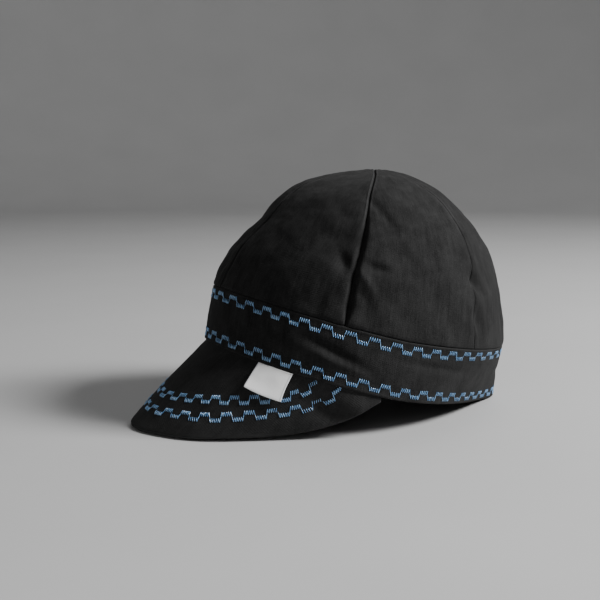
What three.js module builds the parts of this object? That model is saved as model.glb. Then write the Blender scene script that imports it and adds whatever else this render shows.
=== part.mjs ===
// Welding cap: a crown of six cotton panels on a wide band, with a short soft peak and a woven label.
// Millimetres, +Z up. The peak points along -Y and the wearer's left is +X.
// The cap stands on z = 0, on the outer edge of its peak and the back of its band, and the origin
// lies under the middle of the whole cap.
import * as THREE from 'three';

// Clear space between pieces that touch on the real cap
const GAP = 0.3;

// Cloth thickness: one hemmed layer in the crown, a folded strip in the band, two layers and an
// interlining in the peak, a folded ribbon in the label
const CROWN_CLOTH = 1.2;
const BAND_CLOTH = 1.8;
const PEAK_CLOTH = 2.4;
const LABEL_CLOTH = 1.0;

// Head opening, seen from above: a half ellipse in front and a longer one behind. Taper narrows it
// steadily towards the back, pinch draws its sides together behind, and round keeps the very back full
const OPENING_MIDDLE_Y = 13.8;
const BAND_BOTTOM = {
  halfWidth: 80.7, front: 89.4, back: 114.4, taper: 0.14, pinch: 0.45, round: 0.35, shiftBack: 0,
};
const BAND_TOP = {
  halfWidth: 82.1, front: 88.7, back: 109.3, taper: 0.03, pinch: 0, round: 0, shiftBack: 5.1,
};

// The band lies flat on the surface behind, and rises towards the peak in front
const FRONT_LIFT = 49;
const LIFT_POWER = 1.17;
const FLAT_BEHIND_ANGLE = 160;
const BAND_HEIGHT_FRONT = 34.9;
const BAND_HEIGHT_BACK = 38.5;
const BAND_TOP_POWER = 1.34;

// Crown: sections from the band up to the point where the six panels meet. Rise is a share of the
// height above the band, width and length are shares of the band's top edge, back is in millimetres.
// The cloth goes down inside the band by the tuck, and turns outwards at the bend
const CROWN_HEIGHT = 155.6;
const CROWN_TUCK = 9;
const CROWN_BEND = 2.5;
const CROWN_TIP_SHARE = 0.988;
const CROWN_SECTIONS = [
  { rise: 0, width: 1, length: 1, back: 0 },
  { rise: 0.293, width: 0.955, length: 0.926, back: 5.1 },
  { rise: 0.486, width: 0.889, length: 0.831, back: 9.1 },
  { rise: 0.643, width: 0.811, length: 0.724, back: 10.7 },
  { rise: 0.771, width: 0.716, length: 0.606, back: 10.5 },
  { rise: 0.87, width: 0.595, length: 0.476, back: 10.1 },
  { rise: 0.942, width: 0.437, length: 0.332, back: 11.3 },
  { rise: 0.986, width: 0.238, length: 0.176, back: 14.5 },
  { rise: 1, width: 0, length: 0, back: 18.7 },
];

// Seams between the panels, in degrees round from the front to the wearer's left
const PANELS = [
  { name: 'crown_panel_front_left', from: 0, to: 64 },
  { name: 'crown_panel_side_left', from: 64, to: 119.3 },
  { name: 'crown_panel_back_left', from: 119.3, to: 180 },
  { name: 'crown_panel_back_right', from: 180, to: 240.7 },
  { name: 'crown_panel_side_right', from: 240.7, to: 296 },
  { name: 'crown_panel_front_right', from: 296, to: 360 },
];
const SEAM_DIP = 1.1;
const SEAM_HALF_WIDTH = 3.2;

// Folds and dents, a row for each: its middle, its half length and half width, its turn from level
// towards the panel's top, and its height, negative where the cloth is pressed in
const CROWN_FOLDS = [
  { angle: 60, share: 0.17, length: 9, width: 4, turn: -50, height: -1.7 },
  { angle: 71.5, share: 0.195, length: 10, width: 4, turn: -12, height: -1.5 },
  { angle: 69.5, share: 0.135, length: 9, width: 4, turn: -40, height: 1.1 },
  { angle: 72.5, share: 0.47, length: 17, width: 5, turn: -63, height: -1.5 },
  { angle: 122, share: 0.14, length: 10, width: 4.5, turn: -55, height: -1.6 },
  { angle: 115, share: 0.05, length: 12, width: 4, turn: -25, height: -1.2 },
  { angle: 170, share: 0.2, length: 14, width: 6, turn: 30, height: -1.4 },
  { angle: 232, share: 0.16, length: 11, width: 5, turn: 45, height: -1.5 },
  { angle: 289, share: 0.18, length: 10, width: 4.5, turn: 20, height: -1.5 },
  { angle: 300, share: 0.21, length: 11, width: 4.5, turn: 55, height: -1.3 },
  { angle: 330, share: 0.3, length: 24, width: 10, turn: 30, height: -1.6 },
];
const BAND_FOLDS = [
  { angle: 61, share: 0.53, length: 22, width: 3.6, turn: -15, height: -1.5 },
  { angle: 60, share: 0.4, length: 20, width: 3.8, turn: -8, height: 1.1 },
  { angle: 102, share: 0.64, length: 26, width: 3.6, turn: -5, height: -1.2 },
  { angle: 150, share: 0.45, length: 24, width: 4.5, turn: 6, height: -1.1 },
  { angle: 215, share: 0.55, length: 24, width: 4, turn: -8, height: -1.2 },
  { angle: 270, share: 0.5, length: 26, width: 4, turn: 10, height: -1.4 },
  { angle: 305, share: 0.42, length: 20, width: 4, turn: 6, height: 1 },
];

// Peak: sewn in behind the band's bottom edge between its two corners. The rows give the outer
// edge of its upper face from the middle to near the corner
const PEAK_CORNER_ANGLE = 82.2;
const PEAK_TUCK_SHARE = 0.2;
const PEAK_DROP = 0.5;
const PEAK_BULGE = 1;
const PEAK_CORNER_DROP = 3;
const PEAK_EDGE = [
  { share: 0, across: 0, forward: 142, height: 1.7 },
  { share: 0.25, across: 24.4, forward: 132.9, height: 1.7 },
  { share: 0.5, across: 47.4, forward: 109.3, height: 1.7 },
  { share: 0.75, across: 66.4, forward: 57.2, height: 4 },
  { share: 0.88, across: 75.6, forward: 30.3, height: 11.6 },
];

// Label: corners on the peak's upper face, by share across (0 middle, 1 corner) and share outwards
const LABEL_TOP = { left: 0.378, right: 0.562, out: 0.016 };
const LABEL_BOTTOM = { left: 0.44, right: 0.615, outLeft: 0.32, outRight: 0.41 };

// Steps of the mesh
const BAND_COLUMNS = 96;
const BAND_ROWS = [0, 0.14, 0.28, 0.42, 0.56, 0.7, 0.85, 1];
const PANEL_COLUMNS = [0, 0.035, 0.1, 0.2, 0.32, 0.44, 0.56, 0.68, 0.8, 0.9, 0.965, 1];
const PANEL_ROWS = [0, 0.03, 0.07, 0.12, 0.17, 0.23, 0.3, 0.38, 0.46, 0.55, 0.64, 0.73, 0.82, 0.9, 0.955];
const PEAK_COLUMNS = 40;
const PEAK_ROWS = [0, 0.04, 0.18, 0.36, 0.54, 0.72, 0.88, 1];
const LABEL_COLUMNS = 5;
const LABEL_ROWS = 5;
const NORMAL_STEP = 0.002;

const BLACK_COTTON = { color: 0x17181a, roughness: 0.92, metalness: 0 };
const WHITE_RIBBON = { color: 0xf1f1ee, roughness: 0.6, metalness: 0 };

const radians = THREE.MathUtils.degToRad;
const mix = THREE.MathUtils.lerp;
const smooth = THREE.MathUtils.smoothstep;

function steps(count, from = 0, to = 1) {
  return Array.from({ length: count + 1 }, (_, k) => mix(from, to, k / count));
}

// A point of an edge of the band. The angle runs from the front round to the wearer's left
function ringPoint(ring, angle, height) {
  const forward = Math.cos(angle);
  const reach = forward > 0 ? ring.front : ring.back;
  const behind = Math.max(0, -forward);
  const narrowing = 1 + ring.taper * forward - ring.pinch * behind ** 2 + ring.round * behind ** 10;
  return new THREE.Vector3(
    ring.halfWidth * Math.sin(angle) * narrowing,
    OPENING_MIDDLE_Y + ring.shiftBack - reach * forward,
    height,
  );
}

function bandBottom(angle) {
  const flat = Math.cos(radians(FLAT_BEHIND_ANGLE));
  const share = Math.max(0, (Math.cos(angle) - flat) / (1 - flat));
  return ringPoint(BAND_BOTTOM, angle, FRONT_LIFT * share ** LIFT_POWER);
}

function bandTop(angle) {
  const share = ((1 + Math.cos(angle)) / 2) ** BAND_TOP_POWER;
  return ringPoint(BAND_TOP, angle, mix(BAND_HEIGHT_BACK, FRONT_LIFT + BAND_HEIGHT_FRONT, share));
}

// The outward direction of a surface of points, worked out from two small steps along it
function outward(surface, a, b) {
  const along = surface(a + NORMAL_STEP, b).sub(surface(a - NORMAL_STEP, b));
  const up = surface(a, b + NORMAL_STEP).sub(surface(a, b - NORMAL_STEP));
  return along.cross(up).normalize();
}

function moved(surface, a, b, distance) {
  return surface(a, b).addScaledVector(outward(surface, a, b), distance);
}

// Height of all folds at a place given by its angle and share, on a wall of this radius and height
function foldHeight(folds, angle, share, radius, height) {
  return folds.reduce((sum, fold) => {
    const turnedBy = angle - radians(fold.angle);
    const across = Math.atan2(Math.sin(turnedBy), Math.cos(turnedBy)) * radius;
    const up = (share - fold.share) * height;
    const turn = radians(fold.turn);
    const along = across * Math.cos(turn) + up * Math.sin(turn);
    const aside = up * Math.cos(turn) - across * Math.sin(turn);
    return sum + fold.height * Math.exp(-((along / fold.length) ** 2) - (aside / fold.width) ** 2);
  }, 0);
}

function bandPlain(angle, share) {
  return bandBottom(angle).lerp(bandTop(angle), share);
}

// The folds die out at both edges, where the crown and the peak are tucked in
function bandFace(angle, share) {
  const window = smooth(share, 0.12, 0.35) * smooth(1 - share, 0.2, 0.42);
  const middle = (BAND_BOTTOM.halfWidth + BAND_BOTTOM.back) / 2;
  const height = foldHeight(BAND_FOLDS, angle, share, middle, BAND_HEIGHT_BACK);
  return moved(bandPlain, angle, share, height * window);
}

// One column of the table of crown sections, read smoothly between its rows
function section(column, share) {
  const last = CROWN_SECTIONS.length - 1;
  const place = THREE.MathUtils.clamp(share, 0, 1) * last;
  const row = Math.min(Math.floor(place), last - 1);
  const value = (k) => CROWN_SECTIONS[THREE.MathUtils.clamp(k, 0, last)][column];
  const slope = (k) => (value(k + 1) - value(k - 1)) / (k === 0 || k === last ? 1 : 2);
  const t = place - row;
  return value(row) * (2 * t ** 3 - 3 * t ** 2 + 1) + slope(row) * (t ** 3 - 2 * t ** 2 + t)
    + value(row + 1) * (3 * t ** 2 - 2 * t ** 3) + slope(row + 1) * (t ** 3 - t ** 2);
}

// The crown leaves the band set in by the band's cloth, and swells out over it just above
function crownPlain(angle, share) {
  const edge = bandTop(angle);
  const inset = (BAND_CLOTH + GAP) * (1 - smooth(share, 0, 0.07));
  const middle = OPENING_MIDDLE_Y + BAND_TOP.shiftBack;
  const shrink = 1 - inset / BAND_TOP.halfWidth;
  return new THREE.Vector3(
    edge.x * section('width', share) * shrink,
    middle + (edge.y - middle) * section('length', share) * shrink + section('back', share),
    mix(edge.z, CROWN_HEIGHT, section('rise', share)),
  );
}

// A point of the crown's cloth at a depth below its outer face. Below its share of 0 the crown goes
// down inside the band, by one band's height for a share of 1
function crownPoint(angle, share, depth) {
  if (share < 0) {
    return moved(bandPlain, angle, 1 + share, -(BAND_CLOTH + GAP + depth));
  }
  const radius = bandTop(angle).setZ(0).distanceTo(new THREE.Vector3(0, OPENING_MIDDLE_Y, 0));
  const girth = radius * section('width', share);
  const nearest = Math.min(...PANELS.map((panel) => {
    const away = angle - radians(panel.from);
    return Math.abs(Math.atan2(Math.sin(away), Math.cos(away)));
  }));
  const dip = SEAM_DIP * Math.exp(-((nearest * girth / SEAM_HALF_WIDTH) ** 2));
  const fold = foldHeight(CROWN_FOLDS, angle, share, girth, CROWN_HEIGHT);
  const settle = smooth(share, 0, 0.05) * (1 - smooth(share, 0.9, 1));
  return moved(crownPlain, angle, share, (fold - dip) * settle - depth);
}

// A closed cloth wall between an outer and an inner grid of points, joined all along its edges
function clothWall(columns, rows, outer, inner, isLoop) {
  const width = columns.length;
  const count = width * rows.length;
  const points = [outer, inner].flatMap((face) => rows.flatMap((b) => columns.map((a) => face(a, b))));
  const at = (i, j, layer) => layer * count + j * width + (i % width);
  const index = [];
  const quad = (p, q, r, s) => index.push(p, q, r, p, r, s);
  const lastColumn = isLoop ? width : width - 1;
  const lastRow = rows.length - 1;
  for (let i = 0; i < lastColumn; i += 1) {
    for (let j = 0; j < lastRow; j += 1) {
      quad(at(i, j, 0), at(i + 1, j, 0), at(i + 1, j + 1, 0), at(i, j + 1, 0));
      quad(at(i, j, 1), at(i, j + 1, 1), at(i + 1, j + 1, 1), at(i + 1, j, 1));
    }
    quad(at(i, 0, 0), at(i, 0, 1), at(i + 1, 0, 1), at(i + 1, 0, 0));
    quad(at(i, lastRow, 0), at(i + 1, lastRow, 0), at(i + 1, lastRow, 1), at(i, lastRow, 1));
  }
  if (!isLoop) {
    for (let j = 0; j < lastRow; j += 1) {
      quad(at(0, j, 0), at(0, j + 1, 0), at(0, j + 1, 1), at(0, j, 1));
      quad(at(width - 1, j, 0), at(width - 1, j, 1), at(width - 1, j + 1, 1), at(width - 1, j + 1, 0));
    }
  }
  const geometry = new THREE.BufferGeometry().setFromPoints(points);
  geometry.setIndex(index);
  geometry.computeVertexNormals();
  return geometry;
}

function cloth(name, geometry, finish) {
  const mesh = new THREE.Mesh(geometry, new THREE.MeshStandardMaterial(finish));
  mesh.name = name;
  return mesh;
}

function crownPanel(panel) {
  const tucked = [-CROWN_TUCK / BAND_HEIGHT_BACK, -CROWN_BEND / BAND_HEIGHT_BACK];
  const rows = [...tucked, ...PANEL_ROWS, CROWN_TIP_SHARE];
  // The sides stop half a gap short of the seam, measured along the cloth at each height
  const place = (share, b) => {
    const from = radians(panel.from);
    const to = radians(panel.to);
    const perRadian = crownPoint(from + NORMAL_STEP, b, 0).distanceTo(crownPoint(from, b, 0)) / NORMAL_STEP;
    const margin = GAP / 2 / perRadian;
    return mix(from + margin, to - margin, share);
  };
  const outer = (a, b) => crownPoint(place(a, b), b, 0);
  const inner = (a, b) => crownPoint(place(a, b), b, CROWN_CLOTH);
  return cloth(panel.name, clothWall(PANEL_COLUMNS, rows, outer, inner, false), BLACK_COTTON);
}

function band() {
  const columns = steps(BAND_COLUMNS, 0, 2 * Math.PI).slice(0, -1);
  const level = (point) => point.setZ(Math.max(0, point.z));
  const inner = (a, b) => level(moved(bandFace, a, b, -BAND_CLOTH));
  return cloth('band', clothWall(columns, BAND_ROWS, bandFace, inner, true), BLACK_COTTON);
}

// The sewn edge runs just inside the band's bottom edge, a little below it
function peakRoot(across) {
  const root = moved(bandPlain, across * radians(PEAK_CORNER_ANGLE), 0, -(BAND_CLOTH + GAP));
  return root.setZ(root.z - PEAK_DROP);
}

// The free edge, from the right corner at -1 round the front to the left one at 1
function peakEdgeCurve() {
  const corner = peakRoot(1);
  const rows = PEAK_EDGE.map(({ share, across, forward, height }) => (
    [share, across, OPENING_MIDDLE_Y - forward, height]
  ));
  rows.push([1, corner.x, corner.y, corner.z - PEAK_CORNER_DROP]);
  const mirrored = rows.slice(1).reverse().map(([share, x, y, z]) => [-share, -x, y, z]);
  const all = [...mirrored, ...rows];
  return new THREE.CubicInterpolant(all.map((row) => row[0]), all.flatMap((row) => row.slice(1)), 3);
}

const peakEdge = peakEdgeCurve();

// Upper face of the peak: across from -1 to 1, out from 0 at the band to 1 at the edge, and below
// 0 the strip that stands up behind the band
function peakFace(across, out) {
  if (out < 0) {
    return moved(bandPlain, across * radians(PEAK_CORNER_ANGLE), -out, -(BAND_CLOTH + GAP));
  }
  const edge = new THREE.Vector3().fromArray(peakEdge.evaluate(across));
  const point = peakRoot(across).lerp(edge, out);
  const bulge = PEAK_BULGE * Math.sin(Math.PI * out) * Math.cos(across * Math.PI / 2);
  return point.setZ(point.z + bulge);
}

// Out runs down the peak, so its outward side is found by turning the direction over
function peakMoved(across, out, distance) {
  const upwards = (a, b) => peakFace(THREE.MathUtils.clamp(a, -1, 1), -b);
  return moved(upwards, across, -out, distance);
}

function peak() {
  const rows = [PEAK_TUCK_SHARE, ...PEAK_ROWS.map((out) => -out)].reverse();
  const level = (point) => point.setZ(Math.max(0, point.z));
  const outer = (a, b) => peakFace(a, -b);
  const inner = (a, b) => level(peakMoved(a, -b, -PEAK_CLOTH));
  return cloth('peak', clothWall(steps(PEAK_COLUMNS, -1, 1), rows, outer, inner, false), BLACK_COTTON);
}

function label() {
  const raised = (height) => (a, b) => {
    const top = mix(LABEL_TOP.left, LABEL_TOP.right, a);
    const bottom = mix(LABEL_BOTTOM.left, LABEL_BOTTOM.right, a);
    const bottomOut = mix(LABEL_BOTTOM.outLeft, LABEL_BOTTOM.outRight, a);
    return peakMoved(mix(bottom, top, b), mix(bottomOut, LABEL_TOP.out, b), height);
  };
  const outer = raised(GAP + LABEL_CLOTH);
  const inner = raised(GAP);
  const wall = clothWall(steps(LABEL_COLUMNS), steps(LABEL_ROWS), outer, inner, false);
  return cloth('label', wall, WHITE_RIBBON);
}

const cap = new THREE.Group();
cap.add(...PANELS.map(crownPanel), band(), peak(), label());

export default cap;
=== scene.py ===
"""A black cotton welding cap with rows of pale blue stitching and a bare woven label."""
import math

import bmesh
import bpy
import numpy as np
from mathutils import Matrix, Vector, noise


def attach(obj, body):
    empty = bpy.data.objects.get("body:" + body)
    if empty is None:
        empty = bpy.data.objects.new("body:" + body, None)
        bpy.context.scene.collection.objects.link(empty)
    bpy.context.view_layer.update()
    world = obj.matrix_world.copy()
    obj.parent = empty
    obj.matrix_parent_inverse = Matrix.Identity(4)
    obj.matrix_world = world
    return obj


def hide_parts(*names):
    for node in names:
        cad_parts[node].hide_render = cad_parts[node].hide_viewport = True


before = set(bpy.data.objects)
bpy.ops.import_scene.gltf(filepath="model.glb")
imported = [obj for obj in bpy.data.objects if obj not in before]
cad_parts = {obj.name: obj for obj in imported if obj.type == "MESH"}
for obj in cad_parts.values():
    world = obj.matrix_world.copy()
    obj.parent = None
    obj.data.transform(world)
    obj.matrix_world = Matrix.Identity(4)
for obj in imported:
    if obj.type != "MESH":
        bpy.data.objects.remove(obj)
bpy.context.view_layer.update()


# Band
# The real band is one long strip of black cotton twill, folded over to a strip 38 mm high and
# sewn to the crown above and the peak below. Its two folded edges are soft and round, and lying
# on its back edge the cap has pressed a few long creases into it.

MM = 0.001
CLOTH_GAP = 0.3

# Edges of the band: a half ellipse in front and a longer one behind, in millimetres. Taper
# narrows it steadily towards the back, pinch draws its sides together behind, and round keeps the
# very back full
OPENING_MIDDLE_Y = 13.8
BAND_BOTTOM = {"half_width": 80.7, "front": 89.4, "back": 114.4, "taper": 0.14, "pinch": 0.45,
               "round": 0.35, "shift_back": 0}
BAND_TOP = {"half_width": 82.1, "front": 88.7, "back": 109.3, "taper": 0.03, "pinch": 0,
            "round": 0, "shift_back": 5.1}
FRONT_LIFT = 49
LIFT_POWER = 1.17
FLAT_BEHIND_ANGLE = 160
BAND_HEIGHT_FRONT = 34.9
BAND_HEIGHT_BACK = 38.5
BAND_TOP_POWER = 1.34
BAND_THICKNESS = 1.4
BAND_LENGTH = 575
BAND_COLUMNS = 500
BAND_ROWS = 100

# Step in angle or share over which a surface's outward direction is taken, and the distance in
# metres below which two points are one
NORMAL_STEP = 0.002
SAME_POINT = 1e-6

# Creases of the band: middle, half length and half width, turn from level, and height. They
# start above the lower row of stitching and end below the upper one
BAND_FOLDS = [
    {"angle": 61, "share": 0.53, "length": 22, "width": 3.4, "turn": -15, "height": -1.9},
    {"angle": 60, "share": 0.4, "length": 20, "width": 3.6, "turn": -8, "height": 1.5},
    {"angle": 102, "share": 0.64, "length": 26, "width": 3.6, "turn": -5, "height": -1.2},
    {"angle": 150, "share": 0.45, "length": 24, "width": 4.5, "turn": 6, "height": -1.1},
    {"angle": 215, "share": 0.55, "length": 24, "width": 4, "turn": -8, "height": -1.2},
    {"angle": 270, "share": 0.5, "length": 26, "width": 4, "turn": 10, "height": -1.4},
    {"angle": 305, "share": 0.42, "length": 20, "width": 4, "turn": 6, "height": 1},
]
CREASES_START = (0.12, 0.35)
CREASES_END = (0.58, 0.8)
BAND_RUMPLE = {"height": 0.35, "size": 16, "seed": 1}
BAND_FINE_RUMPLE = {"height": 0.12, "size": 5, "seed": 2}

# Rows of stitching that draw the cloth in: their middle, from the nearest edge of the band
STITCH_INSET = 5.1
STITCH_DRAW = 0.3
STITCH_DRAW_WIDTH = 3.2

# The ends of the strip meet in an upright seam in the middle of the back
BAND_JOIN = {"depth": 0.8, "width": 0.7}


def smooth(value, low, high):
    """Rises softly from 0 at the low value to 1 at the high one."""
    share = np.clip((value - low) / (high - low), 0, 1)
    return share * share * (3 - 2 * share)


def ring_point(ring, angle, height):
    """A point of an edge of the band. The angle runs from the front round the wearer's left."""
    forward = np.cos(angle)
    reach = np.where(forward > 0, ring["front"], ring["back"])
    behind = np.maximum(0, -forward)
    narrowing = 1 + ring["taper"] * forward - ring["pinch"] * behind ** 2 + ring["round"] * behind ** 10
    return np.stack([
        ring["half_width"] * np.sin(angle) * narrowing,
        OPENING_MIDDLE_Y + ring["shift_back"] - reach * forward,
        height,
    ], axis=-1)


def band_bottom(angle):
    """The band's lower edge, level behind and rising to the front."""
    flat = math.cos(math.radians(FLAT_BEHIND_ANGLE))
    share = np.maximum(0, (np.cos(angle) - flat) / (1 - flat))
    return ring_point(BAND_BOTTOM, angle, FRONT_LIFT * share ** LIFT_POWER)


def band_top(angle):
    """The band's upper edge, where the crown is sewn on."""
    share = ((1 + np.cos(angle)) / 2) ** BAND_TOP_POWER
    rise = FRONT_LIFT + BAND_HEIGHT_FRONT - BAND_HEIGHT_BACK
    return ring_point(BAND_TOP, angle, BAND_HEIGHT_BACK + rise * share)


def band_plain(angle, share):
    """Outer face of the band without creases, from share 0 at the bottom to 1 at the top."""
    share = np.asarray(share)[..., None]
    return band_bottom(angle) * (1 - share) + band_top(angle) * share


def outward(surface, a, b):
    """The direction in which a surface faces, of length 1."""
    along = surface(a + NORMAL_STEP, b) - surface(a - NORMAL_STEP, b)
    up = surface(a, b + NORMAL_STEP) - surface(a, b - NORMAL_STEP)
    normal = np.cross(along, up)
    return normal / np.linalg.norm(normal, axis=-1, keepdims=True)


def moved(surface, a, b, distance):
    """Points of a surface, moved outwards by a distance in millimetres."""
    return surface(a, b) + outward(surface, a, b) * np.asarray(distance)[..., None]


def hump(distance, width):
    """1 in the middle of a soft hump, and almost 0 at twice its width."""
    return np.exp(-((distance / width) ** 2))


def one_fold(fold, across, up):
    """Height of a long soft fold, at millimetres across and up from its middle."""
    turn = math.radians(fold["turn"])
    along = across * math.cos(turn) + up * math.sin(turn)
    aside = up * math.cos(turn) - across * math.sin(turn)
    return fold["height"] * np.exp(-((along / fold["length"]) ** 2) - (aside / fold["width"]) ** 2)


def fold_height(folds, angle, share, radius, height):
    """How far long soft folds raise or sink the cloth of the band or the crown."""
    total = np.zeros_like(angle)
    for fold in folds:
        middle = math.radians(fold["angle"])
        across = np.arctan2(np.sin(angle - middle), np.cos(angle - middle)) * radius
        total = total + one_fold(fold, across, (share - fold["share"]) * height)
    return total


# Each seed takes its waves from another place, and the gain brings most of them up to full height
SEED_SHIFT = (17.3, 5.1, 9.7)
NOISE_GAIN = 1.4


def rumple(points, height, size, seed):
    """Soft unevenness of cloth, up to a height, with waves about twice the size long."""
    shift = Vector([seed * step for step in SEED_SHIFT])
    waves = [noise.noise(Vector(point) / size + shift) for point in points.reshape(-1, 3)]
    return height * NOISE_GAIN * np.array(waves)


def strip_section(share, length, thickness):
    """Walks round a folded strip: out along its outer face, round the far edge and back inside."""
    radius = thickness / 2
    straight = length - 2 * radius
    bend = math.pi * radius
    walked = share * 2 * (straight + bend)
    far = np.clip((walked - straight) / radius, 0, math.pi)
    near = np.clip((walked - 2 * straight - bend) / radius, 0, math.pi)
    back = np.clip(walked - straight - bend, 0, straight)
    along = radius + np.minimum(walked, straight) + radius * np.sin(far)
    along = along - back - radius * np.sin(near)
    depth = radius * (1 - np.cos(far)) - radius * (1 - np.cos(near))
    return along, depth


def band_height(angle):
    """Height of the band, measured along its slope."""
    return np.linalg.norm(band_top(angle) - band_bottom(angle), axis=-1)


def stitched_in(distance_to_row):
    """How far a row of stitching draws the cloth in."""
    return STITCH_DRAW * np.exp(-((distance_to_row / STITCH_DRAW_WIDTH) ** 4))


def band_face(angle, share):
    """Outer face of the band with its creases, drawn in a little under both rows of stitching."""
    window = smooth(share, *CREASES_START) * (1 - smooth(share, *CREASES_END))
    middle = (BAND_BOTTOM["half_width"] + BAND_BOTTOM["back"]) / 2
    height = fold_height(BAND_FOLDS, angle, share, middle, BAND_HEIGHT_BACK) * window
    up = share * BAND_HEIGHT_BACK
    height = height - stitched_in(up - STITCH_INSET)
    height = height - stitched_in(BAND_HEIGHT_BACK - up - STITCH_INSET)
    plain = band_plain(angle, share)
    height = height + rumple(plain, **BAND_RUMPLE) * window + rumple(plain, **BAND_FINE_RUMPLE)
    from_join = (angle - math.pi) * BAND_BOTTOM["half_width"]
    height = height - BAND_JOIN["depth"] * hump(from_join, BAND_JOIN["width"])
    return plain + outward(band_plain, angle, share) * height[..., None]


def add_cloth(mesh, columns, rows, place):
    """A woven grid laid over a surface. Place gives points and cloth coordinates, both in mm."""
    weave = mesh.loops.layers.uv.verify()
    # Each vertex keeps how far its colour turns paler: the rubbed edges of the twill, the woven edges of
    # the ribbon, and over the peak painted light as well
    pale_edges_and_painted_light = mesh.verts.layers.float.new("pale_edges_and_painted_light")
    made = bmesh.ops.create_grid(mesh, x_segments=columns, y_segments=rows, size=1)["verts"]
    flat = np.array([vert.co[:2] for vert in made]) / 2 + 0.5
    points, cloth, pale_shares = place(flat[:, 0], flat[:, 1])
    where = {}
    for vert, point, spot, pale_share in zip(made, points, cloth, pale_shares):
        vert.co = Vector(point) * MM
        vert[pale_edges_and_painted_light] = pale_share
        where[vert] = spot * MM
    for face in {face for vert in made for face in vert.link_faces}:
        for loop in face.loops:
            loop[weave].uv = where[loop.vert]


def add_object(name, mesh, material):
    """Turns the mesh into a smooth object of one material."""
    data = bpy.data.meshes.new(name)
    mesh.to_mesh(data)
    mesh.free()
    data.shade_smooth()
    data.materials.append(material)
    added = bpy.data.objects.new(name, data)
    bpy.context.collection.objects.link(added)
    return added


def finish_piece(name, mesh, material, slot, *nodes):
    """A piece of the cap that moves with it and stands for the given CAD nodes."""
    piece = add_object(name, mesh, material)
    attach(piece, "root")
    if nodes:
        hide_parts(*nodes)
    return piece


def linear(colour):
    """An sRGB hex colour, such as 1b1c1e, as the linear colour that the shaders take."""
    values = [int(colour[k:k + 2], 16) / 255 for k in (0, 2, 4)]
    return [v / 12.92 if v <= 0.04045 else ((v + 0.055) / 1.055) ** 2.4 for v in values] + [1]


def add_node(tree, kind, settings=None, **inputs):
    """Adds a node with its settings and inputs. An input goes by its name, or by _ and its number."""
    node = tree.nodes.new(kind)
    for key, value in (settings or {}).items():
        setattr(node, key, value)
    for key, value in inputs.items():
        socket = node.inputs[int(key[1:])] if key[0] == "_" else node.inputs[key.replace("_", " ")]
        if isinstance(value, bpy.types.NodeSocket):
            tree.links.new(value, socket)
        else:
            socket.default_value = value
    return node


def new_material(name):
    """An empty material and its node tree."""
    material = bpy.data.materials.new(name)
    material.use_nodes = True
    material.node_tree.nodes.clear()
    return material, material.node_tree


# Black cotton twill, woven from soft carded yarn and dyed: matt, with a little fuzz that greys it at a
# glancing angle, and a paler, rubbed look along folds. Over the whole peak the same paler grey is
# painted light. The real ribs are about 0.5 mm apart, which is too fine for the render, so they are
# drawn 1.1 mm apart. The fading lies in patches about 14 mm wide, specks of 1 mm and streaks along the
# yarns
TWILL_RIB = 1.1
WEFT_RIB = 0.88
TWILL_LEAN = math.radians(62)
DYED_BLACK = "0d0d0d"
FADED_BLACK = "252525"
RUB_AND_PAINTED_LIGHT_GREY = "424242"

# A wave texture of scale 1 repeats every twentieth of a full turn
WAVE_PERIOD = 2 * math.pi / 20
METRES_TO_MM = 1000


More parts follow.
